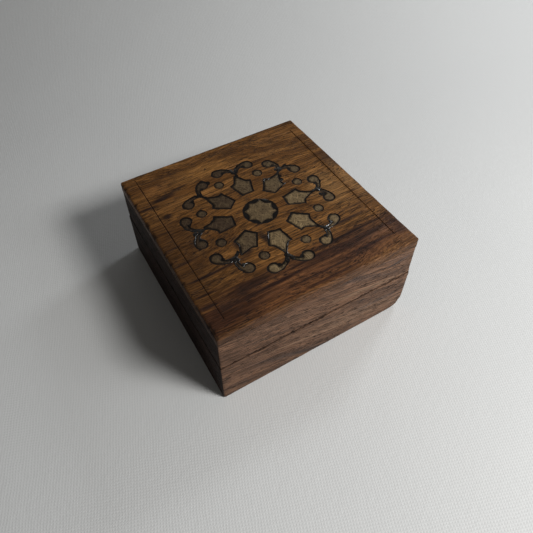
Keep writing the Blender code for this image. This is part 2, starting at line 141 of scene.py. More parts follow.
def rounded(points, low, high, radius):
    """Rubs the edges of the block from low to high round: each point moves in to the worn skin."""
    radius = radius[:, None]
    core = np.clip(points, low + radius, high - radius)
    out = points - core
    most = np.abs(out).max(axis=1, keepdims=True)
    length = np.linalg.norm(out, axis=1, keepdims=True)
    return core + out * most / np.maximum(length, 1e-9)


def chips(points, seed):
    """Where the rim has broken away: 0 mostly, up to 1 in a chip."""
    long = wander(points, (9.0, 9.0, 60.0), seed)
    short = wander(points, (1.1, 1.1, 60.0), seed + 9.0)
    front = 1 - smooth_step(points[:, 1] + BOX_HIGH[1], 0.0, 3.0)
    for middle, half in CHIPPED_RUNS:
        run = 1 - smooth_step(np.abs(points[:, 0] - middle), 0.6 * half, half)
        long = np.maximum(long, 0.42 * run * front)
    return smooth_step(0.8 * long + 0.9 * short, 0.22, 0.62)


def base_radius(points):
    """How far the edges of the base are worn round at each point."""
    at_foot = 1 - smooth_step(points[:, 2], *FOOT_ZONE)
    at_rim = 1 - smooth_step(SEAM - points[:, 2], *RIM_ZONE)
    corner = CORNER_WEAR * (1 + 0.35 * wander(points, 7.0, 3.0))
    foot = BASE_FOOT_WEAR * (1 + 0.3 * wander(points, 9.0, 5.0))
    foot = foot + WORN_FOOT_CORNER * smooth_step(points[:, 0] - points[:, 1], *FOOT_CORNER_ZONE)
    rim = RIM_WEAR * (1 + 0.4 * wander(points, 3.0, 6.0)) + CHIP * chips(points, 20.0)
    radius = corner + at_foot * (foot - corner)
    return radius + at_rim * (rim - radius)


def wear_base(points):
    """The base's faces are a little hollow, its right side stands in, and its edges are rubbed."""
    low = np.array((BOX_LOW[0] + SKIN, BOX_LOW[1] + SKIN, 0.0))
    high = np.array((BOX_HIGH[0] - BASE_RIGHT_STEP, BOX_HIGH[1] - SKIN, BASE_HEAD))
    worn = rounded(points, low, high, base_radius(points))
    hollow = 0.1 * wander(points, 26.0, 8.0)
    out = smooth_step(np.abs(worn[:, :2]), *FACE_ZONE)
    worn[:, :2] -= np.sign(worn[:, :2]) * out * (0.12 + hollow)[:, None]
    return worn


def add_object(name, data):
    thing = bpy.data.objects.new(name, data)
    bpy.context.scene.collection.objects.link(thing)
    return thing


def smooth_mesh(name, points, faces, material):
    """A smooth mesh from points in millimetres."""
    mesh = bpy.data.meshes.new(name)
    mesh.from_pydata([tuple(p) for p in np.asarray(points) / 1000.0], [], [list(f) for f in faces])
    mesh.materials.append(material)
    mesh.shade_smooth()
    return mesh


def mesh_piece(name, points, faces, material, body, slot, hard_angle=40.0, **layers):
    """Makes a piece that rides on a body, with layers of a value for each point."""
    mesh = smooth_mesh(name, points, faces, material)
    mesh.update()
    for layer_name, values in layers.items():
        attribute = mesh.attributes.new(layer_name, "FLOAT", "POINT")
        attribute.data.foreach_set("value", np.asarray(values, np.float32))
    mesh.set_sharp_from_angle(angle=math.radians(hard_angle))
    piece = add_object(name, mesh)
    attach(piece, body)
    return piece


def wall_shape(side, floor, head, wear):
    """A mitred wall on one side of the box, from floor to head: points, faces, and how far each
    point was rubbed away."""
    across = side in ("front", "back")
    half = BOX_HIGH[0] if across else BOX_HIGH[1]
    spans = ((-half, half), (0.0, WALL), (floor, head))
    points, faces = lattice(*(stations(*span, step) for span, step in zip(spans, WALL_ROWS)))
    u, v, w = points.T
    u = u * (half - v - GLUE_LINE / 2) / half
    x, y = {"front": (u, v - BOX_HIGH[1]), "back": (-u, BOX_HIGH[1] - v),
            "left": (v - BOX_HIGH[0], -u), "right": (BOX_HIGH[0] - v, u)}[side]
    sharp = np.stack((x, y, w), axis=1)
    worn = wear(sharp)
    return worn, faces, np.linalg.norm(worn - sharp, axis=1)


# The finish of the wood: rosewood under a thin rubbed coat, with long wavy figure along the grain,
# dark gum streaks, fine fibres and open pores. Rubbed edges are paler, broken ones dark and dry.

def new_group(name, inputs, outputs):
    """An empty node group with the named sockets, its given values, and its output node."""
    tree = bpy.data.node_groups.new(name, "ShaderNodeTree")
    for way, sockets in (("INPUT", inputs), ("OUTPUT", outputs)):
        for socket, kind in sockets.items():
            tree.interface.new_socket(socket, in_out=way, socket_type=f"NodeSocket{kind}")
    return tree, tree.nodes.new("NodeGroupInput").outputs, tree.nodes.new("NodeGroupOutput")


def feed(tree, node, inputs):
    """Links or sets each of these inputs of a node."""
    for socket, value in inputs.items():
        if isinstance(value, bpy.types.NodeSocket):
            tree.links.new(value, node.inputs[socket])
        else:
            node.inputs[socket].default_value = value


def add_node(tree, kind, inputs, output=0, **settings):
    """Adds a node with its settings and inputs, and returns one of its outputs."""
    node = tree.nodes.new(kind)
    for setting, value in settings.items():
        setattr(node, setting, value)
    feed(tree, node, inputs)
    return node.outputs[output]


def calc(tree, operation, *values):
    return add_node(tree, "ShaderNodeMath", dict(enumerate(values)), operation=operation)


def times(tree, first, second):
    return calc(tree, "MULTIPLY", first, second)


def plus(tree, first, second):
    return calc(tree, "ADD", first, second)


def minus(tree, first, second):
    return calc(tree, "SUBTRACT", first, second)


def total(tree, start, *parts):
    """The start, and the value times the share of each part, added up."""
    for value, share in parts:
        start = plus(tree, start, times(tree, value, share))
    return start


def vector_calc(tree, operation, *values):
    return add_node(tree, "ShaderNodeVectorMath", dict(enumerate(values)), operation=operation)


def turned_by(tree, vector, angle):
    """The vector turned about the upright axis."""
    inputs = {"Vector": vector, "Angle": angle}
    return add_node(tree, "ShaderNodeVectorRotate", inputs, rotation_type="Z_AXIS")


def spread(tree, value, low, high, to_low=0.0, to_high=1.0):
    """The value stretched smoothly from low..high to to_low..to_high, and kept within them."""
    inputs = {0: value, 1: low, 2: high, 3: to_low, 4: to_high}
    return add_node(tree, "ShaderNodeMapRange", inputs, interpolation_type="SMOOTHSTEP")


def blend(tree, amount, first, second, way="MIX"):
    """One colour laid over another by an amount."""
    first, second = (c if isinstance(c, bpy.types.NodeSocket) else (*c, 1.0) for c in (first, second))
    inputs = {0: amount, 6: first, 7: second}
    return add_node(tree, "ShaderNodeMix", inputs, 2, data_type="RGBA", blend_type=way)


def stain(tree, colour, mask, strength, tone):
    """The colour, stained with a tone where the mask is."""
    return blend(tree, times(tree, mask, strength), colour, tone)


def cloud(tree, place, scale, detail=2.0, roughness=0.55, distortion=0.0):
    """Noise with `scale` turns per millimetre along each axis."""
    stretched = vector_calc(tree, "MULTIPLY", place, scale)
    inputs = {"Vector": stretched, "Scale": 1.0, "Detail": detail, "Roughness": roughness,
              "Distortion": distortion}
    return add_node(tree, "ShaderNodeTexNoise", inputs)


def layer(tree, name):
    """The value that the mesh carries for each point under this name."""
    return add_node(tree, "ShaderNodeAttribute", {}, "Fac", attribute_name=name)


def use_group(tree, group, inputs):
    node = tree.nodes.new("ShaderNodeGroup")
    node.node_tree = group
    feed(tree, node, inputs)
    return node.outputs


def build_grain():
    """Grain along the first axis of Place, in millimetres."""
    outputs = dict.fromkeys(("Figure", "Streaks", "Fibres", "Pores"), "Float")
    tree, given, result = new_group("wood grain", {"Place": "Vector"}, outputs)
    bend = cloud(tree, given["Place"], (0.016, 0.03, 0.03), 1.0)
    bend = times(tree, minus(tree, bend, 0.5), 16.0)
    sideways = add_node(tree, "ShaderNodeCombineXYZ", {"X": 0.0, "Y": bend, "Z": bend})
    place = vector_calc(tree, "ADD", given["Place"], sideways)
    figure = cloud(tree, place, (0.009, 0.17, 0.17), 3.0, 0.65)
    streaks = cloud(tree, place, (0.020, 0.85, 0.85), 6.0, 0.78, 0.15)
    fibres = cloud(tree, place, (0.045, 1.9, 1.9), 4.0, 0.72)
    pores = cloud(tree, place, (0.24, 2.5, 2.5), 1.5, 0.6)
    crowd = cloud(tree, place, (0.02, 0.3, 0.3), 1.0)
    limit = spread(tree, crowd, 0.35, 0.65, 0.64, 0.55)
    feed(tree, result, {"Figure": spread(tree, figure, 0.32, 0.68),
                        "Streaks": spread(tree, streaks, 0.38, 0.58),
                        "Fibres": spread(tree, fibres, 0.34, 0.66),
                        "Pores": spread(tree, minus(tree, pores, limit), 0.0, 0.05)})
    return tree


def build_mark():
    """One soft mark in the wood, long in the direction of Turn."""
    inputs = {"Place": "Vector", "Centre": "Vector", "Size": "Vector", "Turn": "Float",
              "Ragged": "Float"}
    tree, given, result = new_group("mark in the wood", inputs, {"Mask": "Float"})
    away = vector_calc(tree, "SUBTRACT", given["Place"], given["Centre"])
    away = turned_by(tree, away, given["Turn"])
    away = vector_calc(tree, "DIVIDE", away, given["Size"])
    ragged = cloud(tree, given["Place"], (0.06, 0.5, 0.5), 3.0)
    ragged = times(tree, minus(tree, ragged, 0.5), given["Ragged"])
    length = add_node(tree, "ShaderNodeVectorMath", {0: away}, "Value", operation="LENGTH")
    feed(tree, result, {"Mask": spread(tree, plus(tree, length, ragged), 1.15, 0.25)})
    return tree


def build_dust():
    """Pale dust and dark grime that wander over a surface."""
    outputs = {"Dust": "Float", "Grime": "Float"}
    tree, given, result = new_group("dust and grime", {"Place": "Vector"}, outputs)
    dust = cloud(tree, given["Place"], (0.5,) * 3, 5.0, 0.7)
    grime = cloud(tree, given["Place"], (0.07,) * 3, 3.0, 0.6)
    feed(tree, result, {"Dust": spread(tree, dust, 0.52, 0.78), "Grime": spread(tree, grime, 0.45, 0.75)})
    return tree


grain_group = build_grain()
mark_group = build_mark()
dust_group = build_dust()


def new_material(name):
    """A material, its nodes, its shader, and the place on the object in millimetres."""
    material = bpy.data.materials.new(name)
    material.use_nodes = True
    tree = material.node_tree
    shader = tree.nodes["Principled BSDF"]
    place = add_node(tree, "ShaderNodeTexCoord", {}, "Object")
    return material, tree, shader, vector_calc(tree, "MULTIPLY", place, (1000.0,) * 3)


def add_bump(tree, shader, height, strength, depth):
    """Relief from a height. The depth is in metres."""
    bump = {"Height": height, "Strength": strength, "Distance": depth}
    feed(tree, shader, {"Normal": add_node(tree, "ShaderNodeBump", bump)})


def shade(colour, share):
    """A darker or paler colour of the same hue."""
    return tuple(min(1.0, channel * share) for channel in colour)


STREAK_SHADE = 0.36
FIBRE_SHADE = (0.54, 1.34)  # of the colour, in the darkest and the palest fibres
PORE_COLOUR = (0.012, 0.007, 0.005)
GRIME_COLOUR = (0.02, 0.013, 0.01)
RUBBED_COLOUR = (0.17, 0.085, 0.038)
BROKEN_COLOUR = (0.010, 0.007, 0.006)
MARK_REACH = 99.0  # marks go right through the board
WOOD_SPECULAR = 0.12
WOOD_RELIEF = 0.00012


def wood_finish(name, turn, shift, dark, light, marks=(), marked_at=None, roughness=0.42,
                streak_depth=0.80):
    """Rosewood with its grain turned by `turn` and cut from the log at `shift`.

    `marked_at` gives the place of a mark from its two distances along the face it is on.
    """
    material, tree, shader, place = new_material(name)
    along = {"Vector": place, "Rotation": turn}
    along = add_node(tree, "ShaderNodeVectorRotate", along, rotation_type="EULER_XYZ")
    log = vector_calc(tree, "ADD", along, shift)
    grain = use_group(tree, grain_group, {"Place": log})
    colour = blend(tree, grain["Figure"], dark, light)
    between = minus(tree, 1.0, grain["Streaks"])
    colour = stain(tree, colour, between, streak_depth, shade(dark, STREAK_SHADE))
    board_turn = Euler(turn).to_matrix()
    for tone, strength, right, up, length, width, degrees, ragged in marks:
        inputs = {"Place": along, "Centre": board_turn @ Vector(marked_at(right, up)),
                  "Size": (length, width, MARK_REACH), "Turn": math.radians(-degrees),
                  "Ragged": ragged}
        mask = use_group(tree, mark_group, inputs)["Mask"]
        colour = stain(tree, colour, mask, strength, tone)
    fibre = spread(tree, grain["Fibres"], 0.0, 1.0, *FIBRE_SHADE)
    colour = blend(tree, 1.0, colour, fibre, "MULTIPLY")
    colour = stain(tree, colour, grain["Pores"], 0.88, PORE_COLOUR)
    dirt = use_group(tree, dust_group, {"Place": place})
    colour = stain(tree, colour, dirt["Grime"], 0.22, GRIME_COLOUR)
    wear = layer(tree, "wear")
    worn = spread(tree, times(tree, wear, spread(tree, dirt["Dust"], 0, 1, 0.6, 1.4)), 0.12, 0.5)
    colour = stain(tree, colour, worn, 0.45, RUBBED_COLOUR)
    broken = layer(tree, "broken")
    colour = stain(tree, colour, broken, 0.85, BROKEN_COLOUR)
    rough = spread(tree, grain["Fibres"], 0.0, 1.0, roughness + 0.08, roughness - 0.05)
    rough = total(tree, rough, (grain["Pores"], 0.25), (dirt["Dust"], 0.10), (broken, 0.3))
    feed(tree, shader, {"Base Color": colour, "Roughness": rough, "Specular IOR Level": WOOD_SPECULAR})
    height = total(tree, 0.0, (grain["Fibres"], 0.35), (grain["Streaks"], 0.25), (grain["Pores"], -1.1))
    add_bump(tree, shader, height, 0.55, WOOD_RELIEF)
    return material


ALONG_X = (0.0, 0.0, 0.0)
ALONG_Y = (0.0, 0.0, math.radians(-90))
WALL_DARK = (0.108, 0.053, 0.029)
WALL_LIGHT = (0.226, 0.116, 0.064)
# The side walls are the same rosewood as the front and back, painted far darker: painted shade, as on the
# shaded left face.
SHADED_SIDE_DARK = (0.016, 0.0060, 0.0034)
SHADED_SIDE_LIGHT = (0.040, 0.0155, 0.0080)
UPRIGHT = (math.radians(90), 0.0, math.radians(-12))
FRONT_MARKS = (  # colour, strength, x, z, half length, half width, degrees, raggedness
    ((0.300, 0.185, 0.115), 0.34, -14, 16.5, 44, 0.9, 0, 0.4),
    ((0.300, 0.180, 0.110), 0.22, -30, 40, 30, 0.8, 2, 0.4),
    ((0.300, 0.185, 0.115), 0.26, 8, 34, 34, 0.8, 1, 0.4),
    ((0.310, 0.200, 0.120), 0.35, 28, 30.5, 26, 1.6, -4, 0.5),
    ((0.290, 0.170, 0.100), 0.30, 12, 12, 26, 1.4, -3, 0.5),
    ((0.052, 0.032, 0.024), 0.55, -30, 11.5, 26, 0.6, 2, 0.6),
    ((0.052, 0.032, 0.024), 0.55, -28, 32.5, 30, 0.7, 0, 0.6),
    ((0.050, 0.030, 0.024), 0.60, 4, 20.5, 32, 0.5, 0, 0.6),
    ((0.056, 0.040, 0.038), 0.60, 32, 15, 20, 1.6, -6, 0.6),
    ((0.034, 0.026, 0.027), 0.85, 41.5, 39.5, 9, 0.9, -19, 0.3),
    ((0.060, 0.042, 0.038), 0.60, 8, 46.5, 40, 2.6, 11, 0.5),
    ((0.060, 0.040, 0.036), 0.45, 30, 44.5, 24, 0.8, 0, 0.6),
    ((0.015, 0.010, 0.009), 0.80, 23.5, 23, 2.2, 0.9, -20, 0.6),
    ((0.040, 0.026, 0.022), 0.60, 0, 1, 60, 2.2, 12, 0.6),
    ((0.320, 0.195, 0.120), 0.26, 18, 14, 40, 8, 0, 0.5),
    ((0.090, 0.052, 0.035), 0.26, -24, 38, 30, 8, 0, 0.5),
)

front_wood = wood_finish("front wall wood", UPRIGHT, (40.0, 12.0, 70.0), WALL_DARK, WALL_LIGHT,
                         FRONT_MARKS, lambda x, z: (x, -53.0, z), streak_depth=0.58)
back_wood = wood_finish("back wall wood", UPRIGHT, (-160.0, 55.0, 20.0), WALL_DARK, WALL_LIGHT)
# Both side walls carry this painted shade in their colour.
shaded_side_wood = wood_finish("side wall wood with painted shade", ALONG_Y, (90.0, -30.0, 5.0), SHADED_SIDE_DARK, SHADED_SIDE_LIGHT,
                        roughness=0.62)


def add_wall(body, side, floor, head, wear, radius):
    """Makes one wall. Its wood is broken near the seam, on the outside, and darkened right along it."""
    points, faces, moved = wall_shape(side, floor, head, wear)
    from_seam = np.abs(points[:, 2] - SEAM)
    near_seam = 1 - smooth_step(from_seam, *SEAM_DAMAGE)
    outside = smooth_step(np.maximum(np.abs(points[:, 0]) - BOX_HIGH[0],
                                     np.abs(points[:, 1]) - BOX_HIGH[1]), -1.6, -0.6)
    broken = near_seam * outside * smooth_step(radius(points), 0.5, 0.85)
    # A dark band right along the seam, inside and out, in the same layer as broken wood.
    broken = np.maximum(broken, 0.8 * (1 - smooth_step(from_seam, *SEAM_DARK_BAND)))
    finish = {"front": front_wood, "back": back_wood}.get(side, shaded_side_wood)
    piece = mesh_piece(f"{body}_{side}_board", points, faces, finish, body, "wall_wood",
                       wear=moved, broken=broken)
    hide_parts(f"{body}_{side}_wall")


for side in ("front", "left", "right", "back"):
    add_wall("base", side, 0.0, BASE_HEAD, wear_base, base_radius)


# ---- Bottom board ----
# A plain rosewood board let in between the feet of the walls, flush underneath and glued all round.
# Its top is the floor of the box.

BOTTOM_THICKNESS = 4.0
BOTTOM_GAP = 0.04
BOTTOM_ROWS = (6.0, 6.0, 2.0)
BOTTOM_WARP = 0.06
BOTTOM_LIGHT = (0.230, 0.140, 0.085)

bottom_wood = wood_finish("bottom board wood", ALONG_X, (10.0, 140.0, -60.0), WALL_DARK,
                          BOTTOM_LIGHT, roughness=0.55)
inside = BOX_HIGH - WALL - BOTTOM_GAP
spans = ((-inside[0], inside[0]), (-inside[1], inside[1]), (0.0, BOTTOM_THICKNESS))
points, faces = lattice(*(stations(*span, step) for span, step in zip(spans, BOTTOM_ROWS)))
sharp = points.copy()
points = rounded(points, points.min(axis=0), points.max(axis=0),
                 0.3 * (1 + 0.3 * wander(points, 5.0, 31.0)))
points[:, 2] += BOTTOM_WARP * smooth_step(points[:, 2], 3.0, 4.0) * wander(points, 30.0, 33.0)
points[:, 2] = np.maximum(points[:, 2], 0.0)
bottom = mesh_piece("floor_board", points, faces, bottom_wood, "base", "wall_wood",
                    wear=np.linalg.norm(points - sharp, axis=1))
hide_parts("base_bottom_board")


# ---- Walls of the lid ----
# The upper part of the same four walls, cut off along the seam, so the figure of the wood runs on
# across the saw cut. The top board is glued down on their heads.

TOP_THICKNESS = 5.5
TOP_DROP = 0.22  # how far the worn face of the top board lies under its highest point
LID_FOOT = SEAM + SAW_CUT / 2
TOP_FACE = BOX_HIGH[2] - TOP_DROP
TOP_UNDERSIDE = BOX_HIGH[2] - TOP_THICKNESS
LID_SIDE_STEP = 0.22  # the top board stands this far proud of the walls under it
ARRIS_ZONE = (7.0, 2.5)  # depths under the top over which the wear of the arris fades in
ARRIS_WEAR = 0.75
LEFT_ARRIS_WEAR = 0.25  # more wear, on the left only
NICK = 1.05


def arris_nicks(points):
    """Where the upper left arris is bruised: 0 mostly, up to 1 in a nick."""
    return smooth_step(wander(points, (8.0, 1.7, 8.0), 17.0), 0.12, 0.45)


def lid_radius(points):
    """How far the edges of the lid are worn round at each point."""
    at_top = smooth_step(TOP_FACE - points[:, 2], *ARRIS_ZONE)
    at_rim = 1 - smooth_step(points[:, 2] - SEAM, *RIM_ZONE)
    corner = CORNER_WEAR * (1 + 0.35 * wander(points, 7.0, 13.0))
    left = smooth_step(-points[:, 0], 44.0, 50.0)
    nicks = arris_nicks(points)
    arris = ARRIS_WEAR + 0.3 * wander(points, 6.0, 15.0) + left * (LEFT_ARRIS_WEAR + NICK * nicks)
    rim = RIM_WEAR * (1 + 0.4 * wander(points, 3.0, 16.0)) + CHIP * chips(points, 40.0)
    radius = corner + at_top * (arris - corner)
    return radius + at_rim * (rim - radius)


def wear_lid(points):
    """The lid's boards have moved a hair against each other, and the arrises are worn wavy."""
    low = np.array((BOX_LOW[0] + SKIN, BOX_LOW[1] + SKIN, LID_FOOT))
    high = np.array((BOX_HIGH[0] - SKIN, BOX_HIGH[1] - SKIN, TOP_FACE))
    worn = rounded(points, low, high, lid_radius(points))
    out = smooth_step(np.abs(worn[:, :2]), *FACE_ZONE)
    hollow = 0.09 * wander(points, 26.0, 18.0)
    below = 1 - smooth_step(worn[:, 2], TOP_UNDERSIDE - 0.05, TOP_UNDERSIDE + 0.05)
    inward = 0.1 + hollow + 0.5 * LID_SIDE_STEP * below
    worn[:, :2] -= np.sign(worn[:, :2]) * out * inward[:, None]
    return worn


for side in ("front", "left", "right", "back"):
    add_wall("lid", side, LID_FOOT, TOP_UNDERSIDE - GLUE_LINE, wear_lid, lid_radius)


# ---- Top board ----
# One rosewood board over the whole lid, its grain along the front. Pockets for the rosette are cut
# into it, and a fine line is scored round it with a cutting gauge, deep only across the grain.

POCKET_DEPTH = 1.6
POCKET_FLOOR = TOP_FACE - POCKET_DEPTH
OUTLINE_STEP = 0.45  # between points along the pockets and the brass
BORDER_SPAN = 70.0  # an outline wider than this is the scored border, not a pocket
TOP_ROWS = (1.6, 0.9, 1.6)
TOP_HOLLOW = 0.05
SCORE_HALF_WIDTH = 0.30
SCORED_LINES = (  # from x, y to x, y, then depth
    ((-43.9, -45.6), (-44.0, 49.6), 0.34),
    ((43.4, -44.6), (45.2, 44.4), 0.34),
    ((-44.2, -44.3), (44.0, -44.9), 0.09),
    ((-44.4, 44.2), (45.6, 44.0), 0.09),
)
TOP_DARK = (0.118, 0.049, 0.0135)
TOP_LIGHT = (0.250, 0.114, 0.033)


def cad_shape(node):
    """A copy of a CAD node's mesh, in millimetres, with its doubled points joined."""
    shape = bmesh.new()
    shape.from_mesh(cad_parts[node].data)
    shape.transform(Matrix.Scale(1000.0, 4))
    bmesh.ops.remove_doubles(shape, verts=shape.verts[:], dist=0.002)
    return shape


def points_and_faces(shape):
    """The points and faces of a shape, which is then done with."""
    shape.verts.index_update()
    points = np.array([v.co for v in shape.verts])
    faces = [[v.index for v in f.verts] for f in shape.faces]
    shape.free()
    return points, faces


def at_height(flat, height):
    """Flat points raised to a height, or each to its own."""
    return np.column_stack((flat, np.broadcast_to(height, len(flat))))


def flat_outlines(node, level):
    """The closed outlines, in millimetres, of the part of a node's skin that lies flat at a level."""
    flat = cad_shape(node)
    flat.normal_update()
    away = [f for f in flat.faces
            if f.normal.z < 0.99 or abs(f.calc_center_median().z - level) > 0.03]
    bmesh.ops.delete(flat, geom=away, context="FACES")
    following = {}
    for edge in flat.edges:
        if edge.is_boundary:
            loop = edge.link_loops[0]
            following[loop.vert.co.xy.to_tuple(4)] = loop.link_loop_next.vert.co.xy.to_tuple(4)
    outlines = []
    while following:
        start, at = following.popitem()
        outline = [start]
        while at != start:
            outline.append(at)
            at = following.pop(at)
        outlines.append(np.array(outline))
    flat.free()
    return outlines


def corner_turns(outline):
    """How far the outline turns left at each point, in radians."""
    after = np.roll(outline, -1, axis=0) - outline
    before = np.roll(after, 1, axis=0)
    return np.arctan2(before[:, 0] * after[:, 1] - before[:, 1] * after[:, 0],
                      (before * after).sum(axis=1))


def fine_outline(outline, step):
    """The outline with a point at least every step, curved between its gentle corners."""
    count = len(outline)
    gentle = np.abs(corner_turns(outline)) < math.radians(42)
    fine = []
    for i in range(count):
        p, q = outline[i], outline[(i + 1) % count]
        along = q - p
        pull_p = (q - outline[i - 1]) / 2 if gentle[i] else along
        pull_q = (outline[(i + 2) % count] - p) / 2 if gentle[(i + 1) % count] else along
        length = np.linalg.norm(along)
        for pull in (pull_p, pull_q):
            pull *= min(1.0, length / max(np.linalg.norm(pull), 1e-9))
        parts = max(1, math.ceil(length / step))
        for t in np.arange(parts) / parts:
            h = (2 * t**3 - 3 * t**2 + 1, t**3 - 2 * t**2 + t, 3 * t**2 - 2 * t**3, t**3 - t**2)
            fine.append(h[0] * p + h[1] * pull_p + h[2] * q + h[3] * pull_q)
    return np.array(fine)


def within(points, outlines):
    """Which points lie inside an odd number of the outlines."""
    odd = np.zeros(len(points), bool)
    x, y = points[:, 0], points[:, 1]
    for outline in outlines:
        if x.max() < outline[:, 0].min() or x.min() > outline[:, 0].max():
            continue
        for p, q in zip(outline, np.roll(outline, -1, axis=0)):
            if p[1] == q[1]:
                continue
            crossing = (y > p[1]) != (y > q[1])
            at = p[0] + (y - p[1]) / (q[1] - p[1]) * (q[0] - p[0])
            odd ^= crossing & (x < at)
    return odd


def triangulated(outlines, lines, free):
    """Triangles over outlines, open lines and free points: points, triangles, outline numbers."""
    points = [Vector(p) for outline in outlines for p in outline]
    edges = []
    first = 0
    for outline in outlines:
        edges += [(first + i, first + (i + 1) % len(outline)) for i in range(len(outline))]
        first += len(outline)
    for start, end in lines:
        edges.append((len(points), len(points) + 1))
        points += [Vector(start), Vector(end)]
    points += [Vector(p) for p in free]
    made = geometry.delaunay_2d_cdt(points, edges, [], 0, 1e-5)
    number = {}
    for new, olds in enumerate(made[3]):
        for old in olds:
            number[old] = new
    count = sum(len(outline) for outline in outlines)
    return np.array([tuple(p) for p in made[0]]), np.array(made[2]), [number[i] for i in range(count)]


def distance_to(points, outlines, near=6.0):
    """How far each point is from the nearest outline point."""
    edge = np.concatenate(outlines)
    far = np.full(len(points), near)
    for start in range(0, len(points), 2000):
        gap = points[start:start + 2000, None, :] - edge[None]
        far[start:start + 2000] = np.sqrt((gap**2).sum(axis=2).min(axis=1))
    return np.minimum(far, near)


def score_depth(points):
    """How deep the scored line is cut at each point."""
    depth = np.zeros(len(points))
    for start, end, cut in SCORED_LINES:
        start, end = np.array(start), np.array(end)
        t = np.clip(((points - start) @ (end - start)) / ((end - start) ** 2).sum(), 0, 1)
        away = np.linalg.norm(points - (start + t[:, None] * (end - start)), axis=1)
        depth = np.maximum(depth, cut * np.clip(1 - away / SCORE_HALF_WIDTH, 0, 1))
    return depth


def score_edges():
    """The scored lines and both of their edges, as open lines."""
    for start, end, _ in SCORED_LINES:
        start, end = np.array(start), np.array(end)
        along = (end - start) / np.linalg.norm(end - start)
        side = np.array((-along[1], along[0])) * SCORE_HALF_WIDTH
        for shift in (side * 0, side, -side):
            yield tuple(start + shift), tuple(end + shift)


def moved_in(outline, distance):
    """The outline, which runs anticlockwise, moved inwards."""
    along = np.roll(outline, -1, axis=0) - outline
    along /= np.linalg.norm(along, axis=1, keepdims=True)
    before = np.roll(along, 1, axis=0)
    middle = along + before
    middle /= np.maximum(np.linalg.norm(middle, axis=1, keepdims=True), 1e-6)
    inward = np.column_stack((-middle[:, 1], middle[:, 0]))
    grow = 1 / np.maximum(np.abs((middle * along).sum(axis=1)), 0.6)
    return outline + inward * (distance * grow)[:, None]


def covered(points, outlines):
    """Which points lie inside any of the outlines."""
    inside_one = np.zeros(len(points), bool)
    for outline in outlines:
        inside_one |= within(points, [outline])
    return inside_one


def blob(x, y, radius):
    """A ragged round pool of mastic."""
    angles = np.arange(16) * math.tau / 16
    at = np.column_stack((x + np.cos(angles) * 2, y + np.sin(angles) * 2, angles * 0))
    reach = radius * (1 + 0.3 * wander(at, 1.7, 97.0))
    return np.column_stack((x + np.cos(angles) * reach, y + np.sin(angles) * reach))


RAGGED_LEAST = -0.08  # how far a pocket's edge strays inwards at most
CROOK_POOL = 1.15
SPILLS = (  # x, y, radius
    (-13.6, 29.2, 1.5), (19.4, 12.6, 1.1), (19.9, 15.3, 1.2), (30.3, -6.2, 1.2), (-33.8, 1, 1.3),
    (-4.8, -30.6, 1.2), (21.8, -25.6, 1.2), (-24.6, -21.8, 1.2), (0.4, 31.8, 1.3), (21, 20.5, 1.1),
    (-15.7, 31.4, 1.2), (-20.3, 27, 1.1), (-29.6, 19.2, 1.1), (12, 31.2, 1), (26.5, 21, 1.1),
    (-35.9, -4.9, 1.2), (-33.2, -7.2, 1.1), (-33.6, -16.4, 1.1), (-25.6, -26.6, 1.1), (-35.8, 9.6, 1),
    (-14, -34.2, 1),
)
cad_outlines = flat_outlines("lid_top_board", BOX_HIGH[2])
pockets = [fine_outline(o, OUTLINE_STEP) for o in cad_outlines if np.ptp(o[:, 0]) < BORDER_SPAN]
for outline in pockets:
    ways = np.roll(outline, -1, axis=0) - outline
    runs_left = (outline[:, 0] * ways[:, 1] - outline[:, 1] * ways[:, 0]).sum() > 0
    at = at_height(outline, 0.0)
    ragged = 0.12 + 0.30 * wander(at, 2.2, 91.0) + 0.16 * wander(at, 0.9, 93.0)
    ragged = np.maximum(ragged, RAGGED_LEAST)
    outline += (moved_in(outline, 1.0) - outline) * (-ragged if runs_left else ragged)[:, None]

for spoke in range(1, 9):
    for hand in ("left", "right"):
        (scroll,) = flat_outlines(f"scroll_inlay_{spoke}_{hand}", 50.05)
        crook = np.argmin(corner_turns(scroll))
        outward = scroll[crook] - moved_in(scroll, 1.0)[crook]
        centre = scroll[crook] + outward / np.linalg.norm(outward) * CROOK_POOL * 0.75
        pockets.append(blob(*centre, CROOK_POOL))
pockets += [blob(*spill) for spill in SPILLS]

spans = ((-BOX_HIGH[0], BOX_HIGH[0]), (-BOX_HIGH[1], BOX_HIGH[1]), (TOP_UNDERSIDE, TOP_FACE))
xs, ys, zs = (stations(*span, step) for span, step in zip(spans, TOP_ROWS))
skin, skin_faces = lattice(xs, ys, zs)
skin_faces = [f for f in skin_faces if min(skin[i][2] for i in f) < TOP_FACE - 1e-6]
rim = ([(x, ys[0]) for x in xs] + [(xs[-1], y) for y in ys[1:]]
       + [(x, ys[-1]) for x in xs[-2::-1]] + [(xs[0], y) for y in ys[-2:0:-1]])
free = np.array([(x, y) for x in xs[1:-1] for y in ys[1:-1]])
free = free[distance_to(free, pockets) > 0.45]
flat, triangles, _ = triangulated([np.array(rim)] + pockets, list(score_edges()), free)
in_pocket = covered(flat[triangles].mean(axis=1), pockets)
top_count = len(flat)
low_triangles = triangles[in_pocket] + top_count
sides = []
owner = {}
for triangle, low in zip(triangles, in_pocket):
    for a, b in zip(triangle, np.roll(triangle, -1)):
        owner[a, b] = low
for (a, b), low in owner.items():
    if not low and owner.get((b, a)):
        sides.append((b, a, a + top_count, b + top_count))
board = bmesh.new()
corners = [board.verts.new(p) for p in (*at_height(flat, TOP_FACE - score_depth(flat)),
                                        *at_height(flat, POCKET_FLOOR), *skin)]
for face in [*triangles[~in_pocket], *low_triangles, *sides]:
    board.faces.new([corners[i] for i in face])
for face in skin_faces:
    board.faces.new([corners[i + 2 * top_count] for i in face])
bmesh.ops.delete(board, geom=[v for v in board.verts if not v.link_faces], context="VERTS")
